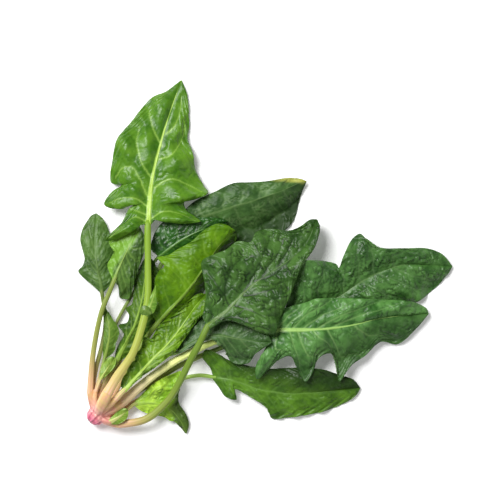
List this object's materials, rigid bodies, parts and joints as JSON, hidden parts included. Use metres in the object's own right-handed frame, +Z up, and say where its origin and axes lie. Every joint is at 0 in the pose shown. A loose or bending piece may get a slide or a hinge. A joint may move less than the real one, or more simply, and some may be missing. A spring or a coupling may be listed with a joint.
{
  "type": "spinach bunch",
  "caption": "Fresh spinach bunch lying on its side: lobed, veined green leaves on curved pale stalks that fan out from a pink crown cut at the root.",
  "frame": {"origin": "middle of the small flat spot under the crown, where the bunch rests on the surface", "axes": "+Z up from the surface, +X along the surface to the leaf tips at the right, +Y along the surface towards the tall leaf's tip"},
  "size_m": [0.2987, 0.2825, 0.0347],
  "materials": {
    "crown": "satin",
    "stalk": "satin",
    "leaf_dark": "satin",
    "leaf_mid": "satin",
    "leaf_bright": "satin"
  },
  "bodies": {
    "root": {"crown": "crown", "tall_blade": "leaf_mid", "tall_stalk": "stalk", "yellow_tip_blade": "leaf_dark", "yellow_tip_stalk": "stalk", "netted_blade": "leaf_dark", "netted_stalk": "stalk", "far_right_blade": "leaf_dark", "far_right_stalk": "stalk", "right_blade": "leaf_dark", "right_stalk": "stalk", "low_right_blade": "leaf_mid", "low_right_stalk": "stalk", "folded_blade": "leaf_bright", "folded_stalk": "stalk", "far_left_blade": "leaf_dark", "far_left_stalk": "stalk", "left_blade": "leaf_mid", "left_stalk": "stalk", "glossy_blade": "leaf_dark", "glossy_stalk": "stalk", "ragged_blade": "leaf_bright", "ragged_stalk": "stalk", "rolled_blade": "leaf_mid", "rolled_stalk": "stalk", "slim_blade": "leaf_mid", "slim_stalk": "stalk", "under_blade": "leaf_dark", "under_stalk": "stalk", "low_blade": "leaf_bright", "low_stalk": "stalk", "young_blade": "leaf_bright", "bud_blade": "leaf_bright", "bud_stalk": "stalk"}
  },
  "joints": []
}
